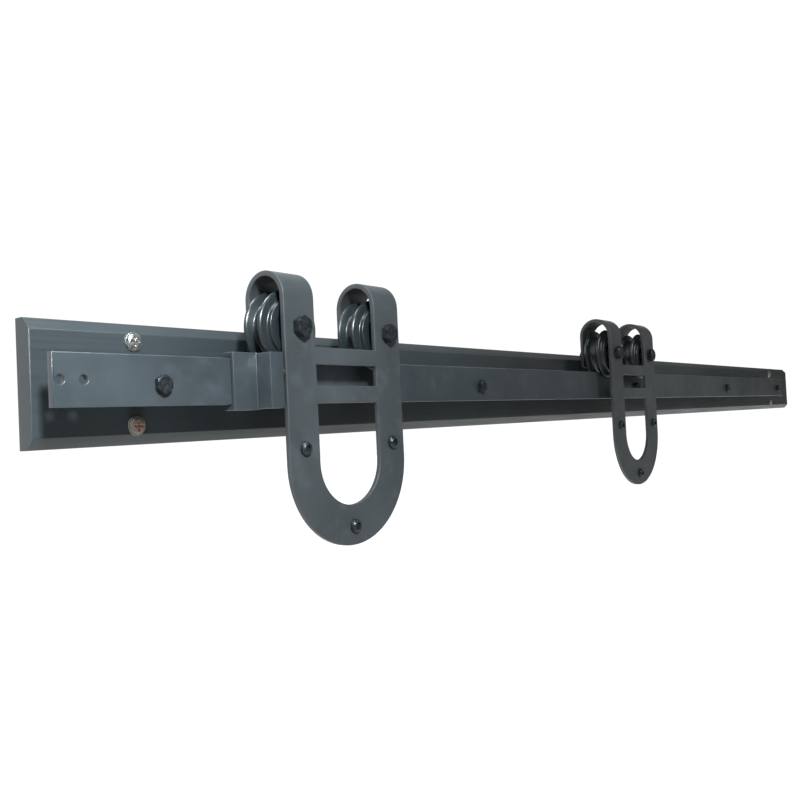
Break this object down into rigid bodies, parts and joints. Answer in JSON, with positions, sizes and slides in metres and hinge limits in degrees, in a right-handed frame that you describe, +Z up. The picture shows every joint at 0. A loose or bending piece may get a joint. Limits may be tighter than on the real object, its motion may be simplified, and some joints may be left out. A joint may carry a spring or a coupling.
{
  "type": "barn door track",
  "caption": "Sliding barn door track: flat rail on spacers over a bevelled header board, with horseshoe hangers rolling on flanged wheels and an end stop.",
  "frame": {"origin": "centre of the header board's back face, on the wall", "axes": "+X along the rail, +Y into the wall, +Z up"},
  "size_m": [2.065, 0.0888, 0.255],
  "materials": {
    "board_paint": "dark blue-grey paint over wood, satin, a little worn on the bevels",
    "rail_coat": "semi-gloss dark grey powder coat",
    "hanger_coat": "satin dark grey powder coat with a fine grain",
    "bolt_black": "black oxide steel, satin",
    "wheel_nylon": "glossy dark moulded nylon",
    "bearing_steel": "turned steel",
    "bush_steel": "turned steel, oiled",
    "screw_zinc": "bright zinc plating, scuffed",
    "screw_rusty": "worn plating with orange-brown rust",
    "bumper_rubber": "matt black rubber"
  },
  "bodies": {
    "root": {"header_board": "board_paint", "track_rail": "rail_coat", "stop_bracket": "rail_coat", "stop_bumper": "bumper_rubber", "stop_set_screw": "bolt_black", "wall_screw_upper_left": "screw_zinc", "wall_screw_lower_left": "screw_rusty", "wall_screw_upper_right": "screw_zinc", "wall_screw_lower_right": "screw_rusty", "spacer_1": "rail_coat", "rail_bolt_1": "bolt_black", "spacer_2": "rail_coat", "rail_bolt_2": "bolt_black", "spacer_3": "rail_coat", "rail_bolt_3": "bolt_black", "spacer_4": "rail_coat", "rail_bolt_4": "bolt_black", "spacer_5": "rail_coat", "rail_bolt_5": "bolt_black"},
    "hanger_left": {"hanger_left": "hanger_coat", "door_bolt_left_1": "bolt_black", "door_bolt_left_2": "bolt_black", "door_bolt_left_3": "bolt_black", "axle_bolt_left_1": "bolt_black", "axle_nut_left_1": "bolt_black", "bush_front_left_1": "bush_steel", "bush_back_left_1": "bush_steel", "axle_bolt_left_2": "bolt_black", "axle_nut_left_2": "bolt_black", "bush_front_left_2": "bush_steel", "bush_back_left_2": "bush_steel"},
    "wheel_left_1": {"wheel_left_1": "wheel_nylon", "bearing_left_1": "bearing_steel"},
    "wheel_left_2": {"wheel_left_2": "wheel_nylon", "bearing_left_2": "bearing_steel"},
    "hanger_right": {"hanger_right": "hanger_coat", "door_bolt_right_1": "bolt_black", "door_bolt_right_2": "bolt_black", "door_bolt_right_3": "bolt_black", "axle_bolt_right_1": "bolt_black", "axle_nut_right_1": "bolt_black", "bush_front_right_1": "bush_steel", "bush_back_right_1": "bush_steel", "axle_bolt_right_2": "bolt_black", "axle_nut_right_2": "bolt_black", "bush_front_right_2": "bush_steel", "bush_back_right_2": "bush_steel"},
    "wheel_right_1": {"wheel_right_1": "wheel_nylon", "bearing_right_1": "bearing_steel"},
    "wheel_right_2": {"wheel_right_2": "wheel_nylon", "bearing_right_2": "bearing_steel"}
  },
  "joints": [
    {"name": "hanger_left_slide", "type": "slide", "parent": "root", "child": "hanger_left", "axis": [1, 0, 0], "range_m": [0, 0.8]},
    {"name": "wheel_left_1_spin", "type": "hinge", "parent": "hanger_left", "child": "wheel_left_1", "pos_m": [-0.8105, -0.056, 0.0478], "axis": [0, 1, 0], "continuous": true},
    {"name": "wheel_left_2_spin", "type": "hinge", "parent": "hanger_left", "child": "wheel_left_2", "pos_m": [-0.6885, -0.056, 0.0478], "axis": [0, 1, 0], "continuous": true},
    {"name": "hanger_right_slide", "type": "slide", "parent": "root", "child": "hanger_right", "axis": [1, 0, 0], "range_m": [0, 0.8]},
    {"name": "wheel_right_1_spin", "type": "hinge", "parent": "hanger_right", "child": "wheel_right_1", "pos_m": [-0.1455, -0.056, 0.0478], "axis": [0, 1, 0], "continuous": true},
    {"name": "wheel_right_2_spin", "type": "hinge", "parent": "hanger_right", "child": "wheel_right_2", "pos_m": [-0.0235, -0.056, 0.0478], "axis": [0, 1, 0], "continuous": true}
  ],
  "couplings": [
    {"joint": "hanger_right_slide", "follows": "hanger_left_slide", "ratio": 1},
    {"joint": "wheel_left_1_spin", "follows": "hanger_left_slide", "rad_per_m": 36.364},
    {"joint": "wheel_left_2_spin", "follows": "hanger_left_slide", "rad_per_m": 36.364},
    {"joint": "wheel_right_1_spin", "follows": "hanger_left_slide", "rad_per_m": 36.364},
    {"joint": "wheel_right_2_spin", "follows": "hanger_left_slide", "rad_per_m": 36.364}
  ]
}
